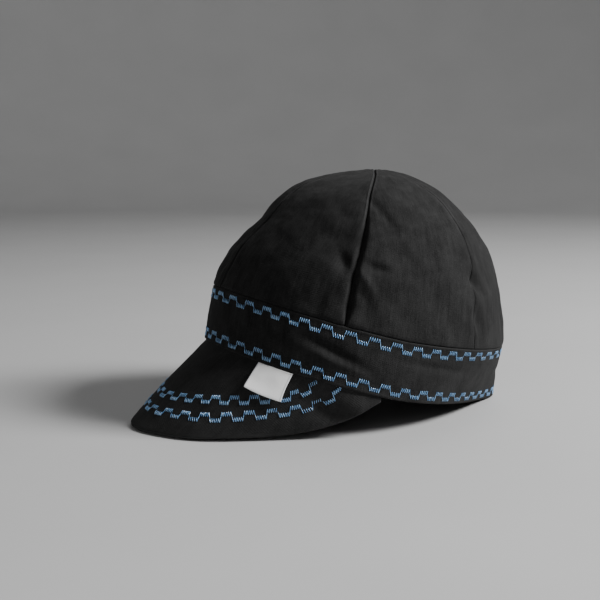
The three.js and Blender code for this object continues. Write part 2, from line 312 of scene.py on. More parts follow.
def make_cotton_twill():
    """Twill ribs and weft, slubs and fuzz in the relief; patches, specks and streaks of fading; rubbed
    pale edges and painted light over the peak.
    """
    material, tree = new_material("black_cotton_twill")
    cloth = add_node(tree, "ShaderNodeUVMap").outputs["UV"]
    in_mm = add_node(tree, "ShaderNodeVectorMath", {"operation": "SCALE"}, Vector=cloth,
                     Scale=METRES_TO_MM).outputs[0]
    wobble = add_node(tree, "ShaderNodeTexNoise", Vector=in_mm, Scale=0.35, Detail=2).outputs["Color"]
    bent = add_node(tree, "ShaderNodeVectorMath", {"operation": "MULTIPLY_ADD"}, _0=wobble,
                    _1=(0.7, 0.7, 0), _2=in_mm).outputs[0]
    turned = add_node(tree, "ShaderNodeMapping", Vector=bent, Rotation=(0, 0, TWILL_LEAN)).outputs[0]
    ribs = add_node(tree, "ShaderNodeTexWave", {"wave_type": "BANDS", "bands_direction": "X"},
                    Vector=turned, Scale=WAVE_PERIOD / TWILL_RIB).outputs["Fac"]
    weft = add_node(tree, "ShaderNodeTexWave", {"wave_type": "BANDS", "bands_direction": "Y"},
                    Vector=bent, Scale=WAVE_PERIOD / WEFT_RIB).outputs["Fac"]
    slubs = add_node(tree, "ShaderNodeMapping", Vector=in_mm, Scale=(1.2, 0.16, 1)).outputs[0]
    slub = add_node(tree, "ShaderNodeTexNoise", Vector=slubs, Scale=1, Detail=3).outputs["Fac"]
    fuzz = add_node(tree, "ShaderNodeTexNoise", Vector=in_mm, Scale=1.3, Detail=4,
                    Roughness=0.7).outputs["Fac"]
    woven = add_node(tree, "ShaderNodeMath", {"operation": "MULTIPLY_ADD"}, _0=weft, _1=0.4,
                     _2=ribs).outputs[0]
    relief = add_node(tree, "ShaderNodeMath", {"operation": "MULTIPLY"}, _0=woven, _1=0.45).outputs[0]
    for yarn in (slub, fuzz):
        relief = add_node(tree, "ShaderNodeMath", {"operation": "MULTIPLY_ADD"}, _0=yarn, _1=2,
                          _2=relief).outputs[0]
    bump = add_node(tree, "ShaderNodeBump", Strength=0.55, Distance=0.00025, Height=relief).outputs[0]

    patches = add_node(tree, "ShaderNodeTexNoise", Vector=in_mm, Scale=0.07, Detail=5,
                       Roughness=0.65).outputs["Fac"]
    specks = add_node(tree, "ShaderNodeTexNoise", Vector=in_mm, Scale=0.9, Detail=3,
                      Roughness=0.8).outputs["Fac"]
    streaks = add_node(tree, "ShaderNodeTexNoise", Vector=slubs, Scale=0.35, Detail=4,
                       Roughness=0.6).outputs["Fac"]
    mottle = patches
    for spots, share in ((specks, 0.8), (streaks, 0.7)):
        mottle = add_node(tree, "ShaderNodeMath", {"operation": "MULTIPLY_ADD"}, _0=spots, _1=share,
                          _2=mottle).outputs[0]
    fade = add_node(tree, "ShaderNodeMapRange", Value=mottle, _1=0.95, _2=1.55).outputs[0]
    dyed = add_node(tree, "ShaderNodeMix", {"data_type": "RGBA"}, _0=fade, _6=linear(DYED_BLACK),
                    _7=linear(FADED_BLACK)).outputs[2]
    # The attribute pales the rubbed edges, and over the whole peak it is painted light
    pale_edges_and_painted_light = add_node(tree, "ShaderNodeAttribute", {"attribute_name": "pale_edges_and_painted_light"}).outputs["Fac"]
    pale_share = add_node(tree, "ShaderNodeMath", {"operation": "MULTIPLY"}, _0=pale_edges_and_painted_light, _1=fuzz).outputs[0]
    colour = add_node(tree, "ShaderNodeMix", {"data_type": "RGBA"}, _0=pale_share, _6=dyed,
                      _7=linear(RUB_AND_PAINTED_LIGHT_GREY)).outputs[2]
    roughness = add_node(tree, "ShaderNodeMapRange", Value=slub, _3=0.8, _4=0.95).outputs[0]
    shader = add_node(tree, "ShaderNodeBsdfPrincipled", Base_Color=colour, Roughness=roughness,
                      Normal=bump, Sheen_Weight=0.02, Sheen_Roughness=0.5, Specular_IOR_Level=0.1)
    add_node(tree, "ShaderNodeOutputMaterial", Surface=shader.outputs[0])
    return material


cotton_twill = make_cotton_twill()

# The two folded edges of the band are rubbed a little pale
BAND_RUB = {"most": 0.35, "width": 0.6}


def place_band(u, v):
    """Places the strip: once round the head, and from its outer face round both folds."""
    angle = u * 2 * math.pi
    height = band_height(angle)
    along, depth = strip_section(v, height, BAND_THICKNESS)
    share = along / height
    points = band_face(angle, share) - outward(band_plain, angle, share) * depth[..., None]
    points[:, 2] = np.maximum(0, points[:, 2])
    cloth = np.stack([u * BAND_LENGTH, along + depth], axis=-1)
    edge = np.minimum(along, height - along)
    return points, cloth, BAND_RUB["most"] * hump(edge, BAND_RUB["width"])


band_mesh = bmesh.new()
add_cloth(band_mesh, BAND_COLUMNS, BAND_ROWS, place_band)
bmesh.ops.remove_doubles(band_mesh, verts=band_mesh.verts, dist=SAME_POINT)
band = finish_piece("band_cloth", band_mesh, cotton_twill, "cotton", "band")


# Crown
# Six tapered panels of the same twill, sewn edge to edge with plain seams turned inwards, and
# gathered a little into the band. The seams sink between soft rolls of cloth, and the seam
# stitches pull short puckers across them. There is no button where the points meet.

CROWN_HEIGHT = 155.6
CROWN_THICKNESS = 1.2
CROWN_TUCK = 9

# The crown and the peak are sewn to the inside of the band, with their faces so far behind its own
BEHIND_BAND = BAND_THICKNESS + CLOTH_GAP

# Sections of the crown from the band to the point where the panels meet. Rise is a share of the
# height above the band, width and length are shares of the band's top edge, back is in millimetres
CROWN_SECTIONS = {
    "rise": [0, 0.293, 0.486, 0.643, 0.771, 0.87, 0.942, 0.986, 1],
    "width": [1, 0.955, 0.889, 0.811, 0.716, 0.595, 0.437, 0.238, 0],
    "length": [1, 0.926, 0.831, 0.724, 0.606, 0.476, 0.332, 0.176, 0],
    "back": [0, 5.1, 9.1, 10.7, 10.5, 10.1, 11.3, 14.5, 18.7],
}

# The seams' angles round the head, from the middle of the front, and the panels between them
SEAM_ANGLES = [0, 64, 119.3, 180, 240.7, 296, 360]
PANEL_NAMES = ["front_left", "side_left", "back_left", "back_right", "side_right", "front_right"]

# How far each seam strays from its straight course, in degrees, at some shares of the way up
SWAY_SHARES = [0, 0.25, 0.55, 0.85, 1]
SEAM_SWAY = [
    [0, 0.8, -0.6, 1.5, 2],
    [0.2, -1, 0.5, 7, 8],
    [-0.8, 1.2, 3, 3.5, 2],
    [0, -0.9, 0.8, -1.5, -2],
    [0.6, -0.6, 0.9, -2, -2],
    [-0.3, 0.9, -0.8, 1.8, 2],
]

# A seam is a narrow crease that gapes above the band, more at some seams than at others, and
# closes at its foot. Higher up, a thin rim on its front side stands over the other panel. A shut
# seam keeps the least share of its depth and rim. A low roll runs along each side, and short
# puckers cross it. Sizes are in millimetres, from and to are shares of the height
SEAM_OPEN = [0.2, 1, 0, 0.5, 0.3, 0.7]
SEAM_CREASE = {"depth": 1.2, "width": 0.75, "least": 0.3}
SEAM_GAPE = {"depth": 1.8, "width": 1.05, "from": 0.3, "to": 0.52}
SEAM_FOOT = {"narrow": 0.35, "to": 0.05}
SEAM_RIM = {"height": 0.5, "away": 1.35, "width": 0.7, "least": 0.2}
SEAM_ROLL = {"height": 0.3, "away": 4.5, "width": 3}
SEAM_PUCKER = {"height": 0.12, "length": 1.5, "stray": 2.3, "stray_length": 7, "start": 2, "reach": 5}
SEAM_FADE = 0.03

# Its two allowances hang inwards, back to back, and end below the tip. The gap between them all
# but closes just inside the seam, and each takes a small share of the panel's columns
SEAM_ALLOWANCE = 7
ALLOWANCE_END = 0.86
ALLOWANCE_CLOSED = {"most": 0.9, "by": 0.3}
FLAP_SHARE = 0.05

# The cloth's unevenness settles towards the band and the tip
CROWN_RUMPLES = [
    {"height": 0.7, "size": 30, "seed": 3},
    {"height": 0.5, "size": 12, "seed": 4},
    {"height": 0.13, "size": 5, "seed": 5},
]
SETTLE_ABOVE_BAND = 0.05
SETTLE_BELOW_TIP = 0.93

# Right above the band's upper edge the cloth steps out from behind it, and puffs out over it
CROWN_STEP_SHARE = 0.0025
CROWN_PUFF = {"height": 0.6, "full": 0.012, "from": 0.06, "to": 0.2}

# Small upright gathers stand on the band: how close round the crown, how long and how high up, in
# millimetres, and the share of the height in which they begin
GATHER = {"height": 0.55, "size": 1, "seed": 6}
GATHERS_ROUND = 14
GATHERS_STRETCH = 30
GATHERS_REACH = 13
GATHERS_START = 0.02

# Dents and folds of the crown, as on the band
CROWN_FOLDS = [
    {"angle": 58.3, "share": 0.18, "length": 9, "width": 3.4, "turn": -52, "height": -2.1},
    {"angle": 56, "share": 0.13, "length": 10, "width": 4, "turn": -40, "height": 0.8},
    {"angle": 72, "share": 0.186, "length": 8, "width": 3, "turn": -8, "height": -2},
    {"angle": 69, "share": 0.128, "length": 8, "width": 2.4, "turn": -42, "height": 1.6},
    {"angle": 68.5, "share": 0.085, "length": 5, "width": 2.2, "turn": -30, "height": -0.9},
    {"angle": 70, "share": 0.045, "length": 8, "width": 4, "turn": 50, "height": -0.9},
    {"angle": 50, "share": 0.3, "length": 8, "width": 5, "turn": 20, "height": -1},
    {"angle": 88, "share": 0.3, "length": 15, "width": 5, "turn": 35, "height": -0.8},
    {"angle": 98, "share": 0.12, "length": 9, "width": 3.4, "turn": 80, "height": -0.9},
    {"angle": 146, "share": 0.12, "length": 12, "width": 4.5, "turn": 70, "height": -1.1},
    {"angle": 200, "share": 0.1, "length": 12, "width": 4.5, "turn": -65, "height": -1.2},
    {"angle": 188, "share": 0.3, "length": 16, "width": 6, "turn": 20, "height": -1},
    {"angle": 72.5, "share": 0.47, "length": 17, "width": 3.8, "turn": -63, "height": -1.6},
    {"angle": 121, "share": 0.175, "length": 8, "width": 4.2, "turn": -50, "height": -3.2},
    {"angle": 121, "share": 0.07, "length": 6, "width": 3.6, "turn": -60, "height": -2.6},
    {"angle": 170, "share": 0.2, "length": 14, "width": 5, "turn": 30, "height": -1.4},
    {"angle": 232, "share": 0.16, "length": 10, "width": 3.6, "turn": 45, "height": -1.5},
    {"angle": 289, "share": 0.18, "length": 9, "width": 3.4, "turn": 20, "height": -1.5},
    {"angle": 300, "share": 0.21, "length": 10, "width": 3.6, "turn": 55, "height": -1.3},
    {"angle": 330, "share": 0.3, "length": 24, "width": 9, "turn": 30, "height": -1.6},
]

# Flat sizes of a front, a side and a back panel with their allowances, and the areas of the gores
PANEL_COLUMNS = 112
PANEL_ROWS = 140
CROWN_LENGTH = 165

# Rows of the cloth: how many lie tucked into the band, as a share, and how they crowd above it.
# Columns crowd towards the seams. The tip stops just short of the point where the panels meet,
# and near it the girth counts as at least so many millimetres
TUCK_SHARE = 0.06
ROW_CROWDING = 1.35
COLUMN_CROWDING = 0.11
TIP_SHARE = 0.9985
LEAST_GIRTH = 4

# The upper parts of the seams are rubbed pale beside the crease
SEAM_RUB = {"most": 0.5, "away": 1.4, "width": 0.8, "from": 0.3, "to": 0.5}


def read_table(places, values, at):
    """A smooth line through a short table of values."""
    places = np.asarray(places, float)
    values = np.asarray(values, float)
    chord = np.diff(values) / np.diff(places)
    slope = np.concatenate([chord[:1], (chord[1:] + chord[:-1]) / 2, chord[-1:]])
    k = np.clip(np.searchsorted(places, at, side="right") - 1, 0, len(places) - 2)
    width = places[k + 1] - places[k]
    t = (at - places[k]) / width
    return (values[k] * (2 * t ** 3 - 3 * t ** 2 + 1) + slope[k] * width * (t ** 3 - 2 * t ** 2 + t)
            + values[k + 1] * (3 * t ** 2 - 2 * t ** 3) + slope[k + 1] * width * (t ** 3 - t ** 2))


def section(column, share):
    """A column of the table of sections, at a share of the way up."""
    values = CROWN_SECTIONS[column]
    return read_table(np.linspace(0, 1, len(values)), values, np.clip(share, 0, 1))


def crown_plain(angle, share):
    """Outer face of the crown without seams and folds."""
    edge = band_top(angle)
    middle = OPENING_MIDDLE_Y + BAND_TOP["shift_back"]
    rise = section("rise", share)
    return np.stack([
        edge[..., 0] * section("width", share),
        middle + (edge[..., 1] - middle) * section("length", share) + section("back", share),
        edge[..., 2] * (1 - rise) + CROWN_HEIGHT * rise,
    ], axis=-1)


def seam_angle(seam, share):
    """The course of a seam, as an angle in radians."""
    sway = read_table(SWAY_SHARES, SEAM_SWAY[seam % len(SEAM_SWAY)], np.clip(share, 0, 1))
    return np.radians(SEAM_ANGLES[seam] + sway)


def crown_girth(angle, share):
    """Millimetres round the crown for each radian."""
    edge = band_top(angle)
    return np.hypot(edge[..., 0], edge[..., 1] - OPENING_MIDDLE_Y) * section("width", share)


def seam_relief(angle, share, girth):
    """Creases at the seams, the soft rolls beside them and the short puckers across them."""
    height = np.zeros_like(angle)
    up = share * CROWN_LENGTH
    gape_left = 1 - smooth(share, SEAM_GAPE["from"], SEAM_GAPE["to"])
    foot = SEAM_FOOT["narrow"] + (1 - SEAM_FOOT["narrow"]) * smooth(share, 0, SEAM_FOOT["to"])
    for seam, opened in enumerate(SEAM_OPEN):
        away = angle - seam_angle(seam, share)
        side = np.arctan2(np.sin(away), np.cos(away)) * girth
        distance = np.abs(side)
        gape = gape_left * opened
        crease = SEAM_CREASE["least"] + (1 - SEAM_CREASE["least"]) * opened
        depth = SEAM_CREASE["depth"] * crease + SEAM_GAPE["depth"] * gape
        width = (SEAM_CREASE["width"] + SEAM_GAPE["width"] * gape) * foot
        height = height - depth * hump(distance, width)
        to_front = side * (-1 if SEAM_ANGLES[seam] <= 180 else 1)
        rim = SEAM_RIM["height"] * (1 - gape) * (SEAM_RIM["least"] + (1 - SEAM_RIM["least"]) * opened)
        height = height + rim * hump(to_front - SEAM_RIM["away"], SEAM_RIM["width"])
        height = height + SEAM_ROLL["height"] * hump(distance - SEAM_ROLL["away"], SEAM_ROLL["width"])
        stray = SEAM_PUCKER["stray"] * np.sin(up / SEAM_PUCKER["stray_length"] + seam)
        ripple = np.sin(up / SEAM_PUCKER["length"] + stray + np.sign(side))
        reach = hump(distance, SEAM_PUCKER["reach"]) * distance / (SEAM_PUCKER["start"] + distance)
        height = height + SEAM_PUCKER["height"] * ripple * reach
    return height


def crown_face(angle, share):
    """How far the cloth of the crown stands out from its plain face."""
    plain = crown_plain(angle, share)
    girth = crown_girth(angle, share)
    height = fold_height(CROWN_FOLDS, angle, share, girth, CROWN_HEIGHT)
    height = height + sum(rumple(plain, **row) for row in CROWN_RUMPLES)
    settled = smooth(share, 0, SETTLE_ABOVE_BAND) * (1 - smooth(share, SETTLE_BELOW_TIP, 1))
    up = share * CROWN_LENGTH
    upright = np.stack([np.sin(angle) * GATHERS_ROUND, np.cos(angle) * GATHERS_ROUND,
                        up / GATHERS_STRETCH], axis=-1)
    gathers = rumple(upright, **GATHER) * hump(up, GATHERS_REACH)
    height = height * settled + gathers * smooth(share, 0, GATHERS_START)
    puff = smooth(share, 0, CROWN_PUFF["full"]) * (1 - smooth(share, CROWN_PUFF["from"], CROWN_PUFF["to"]))
    height = height + CROWN_PUFF["height"] * puff
    seam_fade = smooth(share, -SEAM_FADE, SEAM_FADE) * (1 - smooth(share, 1 - SEAM_FADE, 1))
    height = height + seam_relief(angle, share, girth) * seam_fade
    return height - BEHIND_BAND * (1 - smooth(share, 0, CROWN_STEP_SHARE))


def place_panel(number):
    """Places a panel with the allowances at its sides and the end that is tucked into the band."""
    def place(u, v):
        tucked = (v / TUCK_SHARE - 1) * CROWN_TUCK / BAND_HEIGHT_BACK
        risen = np.maximum(0, (v - TUCK_SHARE) / (1 - TUCK_SHARE)) ** ROW_CROWDING * TIP_SHARE
        along = np.where(v < TUCK_SHARE, tucked, risen)
        share = np.maximum(along, 0)
        inner = np.clip((u - FLAP_SHARE) / (1 - 2 * FLAP_SHARE), 0, 1)
        turned = np.clip(np.maximum(FLAP_SHARE - u, u - 1 + FLAP_SHARE) / FLAP_SHARE, 0, 1)
        across = inner - COLUMN_CROWDING * np.sin(2 * math.pi * inner)
        left = seam_angle(number, share)
        right = seam_angle(number + 1, share)
        middle = (left + right) / 2
        girth = np.maximum(crown_girth(middle, share), LEAST_GIRTH)
        closed = ALLOWANCE_CLOSED["most"] * smooth(turned, 0, ALLOWANCE_CLOSED["by"])
        half_gap = CLOTH_GAP / 2 / girth * (1 - closed)
        angle = left + half_gap + (right - left - 2 * half_gap) * across
        allowance = turned * SEAM_ALLOWANCE * (1 - smooth(share, ALLOWANCE_END, 1))
        height = crown_face(angle, share) - allowance
        above = crown_plain(angle, share) + outward(crown_plain, angle, share) * height[..., None]
        below = moved(band_plain, angle, 1 + np.minimum(along, 0), -BEHIND_BAND - allowance)
        points = np.where((along < 0)[..., None], below, above)
        width = (angle - middle) * girth + (u - 0.5) * 2 * allowance
        cloth = np.stack([width, along * CROWN_LENGTH], axis=-1)
        beside = np.minimum(angle - left, right - angle) * girth
        pale_share = SEAM_RUB["most"] * hump(beside - SEAM_RUB["away"], SEAM_RUB["width"])
        return points, cloth, pale_share * smooth(along, SEAM_RUB["from"], SEAM_RUB["to"])
    return place


for number, panel_name in enumerate(PANEL_NAMES):
    panel_mesh = bmesh.new()
    add_cloth(panel_mesh, PANEL_COLUMNS, PANEL_ROWS, place_panel(number))
    panel = finish_piece("crown_cloth_" + panel_name, panel_mesh, cotton_twill, "cotton",
                         "crown_panel_" + panel_name)
    wall = panel.modifiers.new("Wall", "SOLIDIFY")
    wall.thickness = CROWN_THICKNESS * MM
    wall.offset = -1


# Peak
# A short soft peak of two layers of twill over an interlining, turned right side out so that
# its outer edge is round, and sewn in behind the band's lower edge. It lies on its front edge.

# The corners lie this many degrees round from the front. The tuck is sewn in behind the band, the
# peak comes out a drop below the band's lower edge, and its corners lie lower still
PEAK_THICKNESS = 2.4
PEAK_CORNER_ANGLE = 82.2
PEAK_TUCK = 7.7
PEAK_DROP = 0.5
PEAK_BULGE = 1
PEAK_CORNER_DROP = 3
PEAK_HALF_WIDTH = 105

# The peak's edge from its middle round to the wearer's left, in millimetres. Forward is measured
# from the middle of the head opening
PEAK_EDGE = [
    {"share": 0, "across": 0, "forward": 142, "height": 1.7},
    {"share": 0.25, "across": 24.4, "forward": 132.9, "height": 1.7},
    {"share": 0.5, "across": 47.4, "forward": 109.3, "height": 1.7},
    {"share": 0.75, "across": 66.4, "forward": 57.2, "height": 4},
    {"share": 0.88, "across": 75.6, "forward": 30.3, "height": 11.6},
]

# Soft folds of the peak. Across is a share of its half width, from -1 to 1, and out is a share of
# the way from the band to the edge
PEAK_FOLDS = [
    {"across": 0.79, "out": 0.57, "length": 13, "width": 4, "turn": 45, "height": -2},
    {"across": 0.86, "out": 0.4, "length": 12, "width": 5, "turn": 50, "height": 1.2},
    {"across": -0.6, "out": 0.5, "length": 14, "width": 6, "turn": -20, "height": -0.9},
    {"across": 0.1, "out": 0.35, "length": 22, "width": 10, "turn": 8, "height": 0.6},
]
PEAK_RUMPLES = [{"height": 0.5, "size": 26, "seed": 7}, {"height": 0.15, "size": 8, "seed": 8}]
PEAK_SETTLES = {"band": 0.15, "edge": 0.85}
PEAK_COLUMNS = 230
PEAK_ROWS = 150

# The whole peak is painted a little paler, as painted light for the light that falls on it, and its edge
# is rubbed pale
PEAK_PAINTED_LIGHT = 0.28
PEAK_RUB = {"most": 0.6, "width": 0.9}


def peak_root(across):
    """Where the peak comes out below the band, across it from -1 to 1."""
    angle = across * math.radians(PEAK_CORNER_ANGLE)
    return moved(band_plain, angle, 0 * angle, -BEHIND_BAND) - np.array([0, 0, PEAK_DROP])


def peak_edge(across):
    """The peak's outer edge, the same on both sides."""
    corner = peak_root(np.array([1.0]))[0]
    rows = [(row["share"], row["across"], OPENING_MIDDLE_Y - row["forward"], row["height"])
            for row in PEAK_EDGE]
    rows.append((1, corner[0], corner[1], corner[2] - PEAK_CORNER_DROP))
    rows = np.array([(-share, -x, y, z) for share, x, y, z in rows[:0:-1]] + rows)
    return np.stack([read_table(rows[:, 0], rows[:, k], across) for k in (1, 2, 3)], axis=-1)


def peak_length(across):
    """From the band to the edge, in millimetres."""
    return np.linalg.norm(peak_edge(across) - peak_root(across), axis=-1)


def peak_plain(across, out):
    """Upper face: out runs from 0 at the band to 1 at the edge, below 0 up behind the band."""
    share = np.maximum(np.asarray(out, float), 0)[..., None]
    point = peak_root(across) * (1 - share) + peak_edge(across) * share
    bulge = PEAK_BULGE * np.sin(math.pi * share[..., 0]) * np.cos(across * math.pi / 2)
    point[..., 2] += bulge
    angle = across * math.radians(PEAK_CORNER_ANGLE)
    behind = moved(band_plain, angle, np.maximum(-out, 0), -BEHIND_BAND)
    return np.where((out < 0)[..., None], behind, point)


def peak_up(across, out):
    """The direction in which the upper face looks."""
    return -outward(peak_plain, np.clip(across, NORMAL_STEP - 1, 1 - NORMAL_STEP), out)


def peak_relief(across, out):
    """How far folds and unevenness raise or sink the upper face."""
    height = np.zeros_like(across)
    length = peak_length(across)
    for fold in PEAK_FOLDS:
        aside = (across - fold["across"]) * PEAK_HALF_WIDTH
        height = height + one_fold(fold, aside, (out - fold["out"]) * length)
    plain = peak_plain(across, out)
    height = height + sum(rumple(plain, **row) for row in PEAK_RUMPLES)
    return height * smooth(out, 0, PEAK_SETTLES["band"]) * (1 - smooth(out, PEAK_SETTLES["edge"], 1))


def peak_face(across, out, above):
    """Points at a height above the upper face with its folds."""
    height = peak_relief(across, out) + above
    return peak_plain(across, out) + peak_up(across, out) * height[..., None]


# The corners stop just short of the sides, and no point lies in the bend from peak to band
PEAK_CORNER = 0.9999
PEAK_BEND = 0.001


def place_peak(u, v):
    """Places both layers of the peak, joined round its outer edge."""
    across = np.clip(2 * u - 1, -PEAK_CORNER, PEAK_CORNER)
    length = peak_length(across)
    along, depth = strip_section(1 - v, length + PEAK_TUCK, PEAK_THICKNESS)
    from_root = along - PEAK_TUCK
    out = np.where(from_root < 0, from_root / BAND_HEIGHT_BACK, from_root / length)
    out = np.where((out < 0) & (out > -PEAK_BEND), -PEAK_BEND, out)
    points = peak_face(across, out, -depth)
    points[:, 2] = np.maximum(0, points[:, 2])
    cloth = np.stack([across * PEAK_HALF_WIDTH, along + depth], axis=-1)
    edge = length + PEAK_TUCK - along
    # The even paler share over the whole peak is painted light; the hump at its edge is rubbing
    return points, cloth, PEAK_PAINTED_LIGHT + PEAK_RUB["most"] * hump(edge, PEAK_RUB["width"])


peak_mesh = bmesh.new()
add_cloth(peak_mesh, PEAK_COLUMNS, PEAK_ROWS, place_peak)
bmesh.ops.remove_doubles(peak_mesh, verts=peak_mesh.verts, dist=SAME_POINT)
open_ends = [edge for edge in peak_mesh.edges if edge.is_boundary]
bmesh.ops.holes_fill(peak_mesh, edges=open_ends, sides=0)
peak = finish_piece("peak_cloth", peak_mesh, cotton_twill, "cotton", "peak")


# Label
# A short loop of white woven ribbon, folded in half and caught in the seam between band and
# peak, so that its round fold lies towards the edge of the peak. It is left bare.

# The label's two ends on the peak, across it and out from the band, as shares
LABEL_TOP = {"left": 0.378, "right": 0.562, "out": 0}
LABEL_BOTTOM = {"left": 0.44, "right": 0.615, "out_left": 0.32, "out_right": 0.41}
LABEL_LENGTH = 22
LABEL_WIDTH = 19
LABEL_THICKNESS = 1.5
RIBBON_THICKNESS = 0.35
LABEL_COLUMNS = 40
LABEL_ROWS = 100

# The ribbon is stiffer than the peak, so its end and its corners stand off a little
LABEL_END_LIFT = 0.7
LABEL_LIFT_START = 0.4
LABEL_CORNER_LIFT = 1

# The woven edges, in millimetres from the side: pale grey up to the first, white from the second
SELVEDGE_WIDTH = (0.7, 1)


def label_point(a, b, above):
    """A point over the peak, at shares across the label and along it from the band."""
    top = LABEL_TOP["left"] * (1 - a) + LABEL_TOP["right"] * a
    bottom = LABEL_BOTTOM["left"] * (1 - a) + LABEL_BOTTOM["right"] * a
    bottom_out = LABEL_BOTTOM["out_left"] * (1 - a) + LABEL_BOTTOM["out_right"] * a
    return peak_face(top * (1 - b) + bottom * b, LABEL_TOP["out"] * (1 - b) + bottom_out * b, above)


def place_label(u, v):
    """Places the ribbon: out along its upper half, round the fold and back below."""
    radius = (LABEL_THICKNESS - RIBBON_THICKNESS) / 2
    straight = LABEL_LENGTH - radius
    bend = math.pi * radius
    walked = (1 - v) * (2 * straight + bend)
    round_fold = np.clip((walked - straight) / radius, 0, math.pi)
    back = np.clip(walked - straight - bend, 0, straight)
    along = np.minimum(walked, straight) - back + radius * np.sin(round_fold)
    above = CLOTH_GAP + LABEL_THICKNESS - radius * (1 - np.cos(round_fold))
    share = along / LABEL_LENGTH
    lift = LABEL_END_LIFT * smooth(share, LABEL_LIFT_START, 1) ** 2
    lift = lift + LABEL_CORNER_LIFT * (2 * u - 1) ** 2 * smooth(share, 0, 1)
    points = label_point(u, share, above + lift)
    cloth = np.stack([u * LABEL_WIDTH, walked], axis=-1)
    from_side = np.minimum(u, 1 - u) * LABEL_WIDTH
    return points, cloth, 1 - smooth(from_side, *SELVEDGE_WIDTH)


# White polyester satin ribbon, woven on a label loom: smooth and bright, with fine ribs that break
# its shine a little. Real ribs are 0.2 to 0.3 mm apart and are drawn at twice that
RIBBON_RIB = 0.6
RIBBON_WARP = 0.5
RIBBON_WHITE = "fdfdfb"
RIBBON_SOILED = "f3f3f4"
SELVEDGE_GREY = "d9dadc"


def make_ribbon():
    """Ribs and warp in the relief, raised edges, and faint uneven soiling."""
    material, tree = new_material("white_woven_ribbon")
    cloth = add_node(tree, "ShaderNodeUVMap").outputs["UV"]
    in_mm = add_node(tree, "ShaderNodeVectorMath", {"operation": "SCALE"}, Vector=cloth,
                     Scale=METRES_TO_MM).outputs[0]
    ribs = add_node(tree, "ShaderNodeTexWave", {"wave_type": "BANDS", "bands_direction": "Y"},
                    Vector=in_mm, Scale=WAVE_PERIOD / RIBBON_RIB, Distortion=0.4).outputs["Fac"]
    warp = add_node(tree, "ShaderNodeTexWave", {"wave_type": "BANDS", "bands_direction": "X"},
                    Vector=in_mm, Scale=WAVE_PERIOD / RIBBON_WARP).outputs["Fac"]
    woven = add_node(tree, "ShaderNodeMath", {"operation": "MULTIPLY_ADD"}, _0=warp, _1=0.5,
                     _2=ribs).outputs[0]
    # On the ribbon the attribute holds only the grey woven edges
    edge = add_node(tree, "ShaderNodeAttribute", {"attribute_name": "pale_edges_and_painted_light"}).outputs["Fac"]
    relief = add_node(tree, "ShaderNodeMath", {"operation": "MULTIPLY_ADD"}, _0=edge, _1=2,
                      _2=woven).outputs[0]
    bump = add_node(tree, "ShaderNodeBump", Strength=0.5, Distance=0.00015, Height=relief).outputs[0]
    soil = add_node(tree, "ShaderNodeTexNoise", Vector=in_mm, Scale=0.2, Detail=3).outputs["Fac"]
    white = add_node(tree, "ShaderNodeMix", {"data_type": "RGBA"}, _0=soil, _6=linear(RIBBON_WHITE),
                     _7=linear(RIBBON_SOILED)).outputs[2]
    colour = add_node(tree, "ShaderNodeMix", {"data_type": "RGBA"}, _0=edge, _6=white,
                      _7=linear(SELVEDGE_GREY)).outputs[2]
    shader = add_node(tree, "ShaderNodeBsdfPrincipled", Base_Color=colour, Roughness=0.5, Normal=bump,
                      Sheen_Weight=0.1, Specular_IOR_Level=0.4)
    add_node(tree, "ShaderNodeOutputMaterial", Surface=shader.outputs[0])
    return material


label_mesh = bmesh.new()
add_cloth(label_mesh, LABEL_COLUMNS, LABEL_ROWS, place_label)
label = finish_piece("label_ribbon", label_mesh, make_ribbon(), "woven_ribbon", "label")
ribbon_wall = label.modifiers.new("Wall", "SOLIDIFY")
ribbon_wall.thickness = RIBBON_THICKNESS * MM
ribbon_wall.offset = -1


# Stitching
# Rows of machine embroidery in pale blue polyester thread, two round the band and two across
# the peak. One thread runs in blocks of five tight zigzags that step up and down by turns.

THREAD_RADIUS = 0.2

# A block's height and step are in millimetres, its start and the gap after it in zigzags
ZIGZAGS = 5
BLOCK_HEIGHT = 2.5
BLOCK_STEP = 3.4
BLOCK_START = 0.25
BLOCK_GAP = 0.15

# Height of the thread above the cloth along one stitch. Every second stitch is drawn down into it
STITCH_PLACES = [0, 0.15, 0.5, 0.85]
STITCH_ARCH = [-0.1, 0.22, 0.32, 0.22]
STITCH_SUNK = [-0.1, -0.14, -0.15, -0.14]
STITCHES_A_PERIOD = 4 * ZIGZAGS


def zigzag_row(period):
    """Needle points of one period, along and across the row, each stitch ending at the next."""
    half = period / 2
    pitch = half / (ZIGZAGS + BLOCK_GAP)
    points = []
    for block, low in ((0, BLOCK_STEP), (1, 0)):
        ends = (low, low + BLOCK_HEIGHT) if block == 0 else (low + BLOCK_HEIGHT, low)
        for k in range(ZIGZAGS):
            start = block * half + pitch * (k + BLOCK_START)
            points.append((start, ends[0]))
            points.append((start + pitch / 2, ends[1]))
    return points


def stitch_path(count, period, phase):
    """Along, across and height above the cloth of the whole thread of a row."""
    pair_of_blocks = np.array(zigzag_row(period))
    needle = np.concatenate([pair_of_blocks + (k * period, 0) for k in range(count)]) + (phase, 0)
    path = []
    for k, (start, end) in enumerate(zip(needle, needle[1:])):
        on_top = k % 2 == 0 or k % STITCHES_A_PERIOD == STITCHES_A_PERIOD - 1
        for share, above in zip(STITCH_PLACES, STITCH_ARCH if on_top else STITCH_SUNK):
            along, across = start + (end - start) * share
            path.append((along, across, above))
    return np.array(path)


# Trilobal polyester embroidery thread of two plies, wound on smooth: bright and pale blue, with a
# strong sheen that makes every stitch show by itself. The blue changes about every 1.4 mm, and the
# plies lie 0.3 mm apart
THREAD_DEEP_BLUE = "3773aa"
THREAD_PALE_BLUE = "8cbbe4"
SHADES_A_METRE = 700
PLIES_A_METRE = 3500


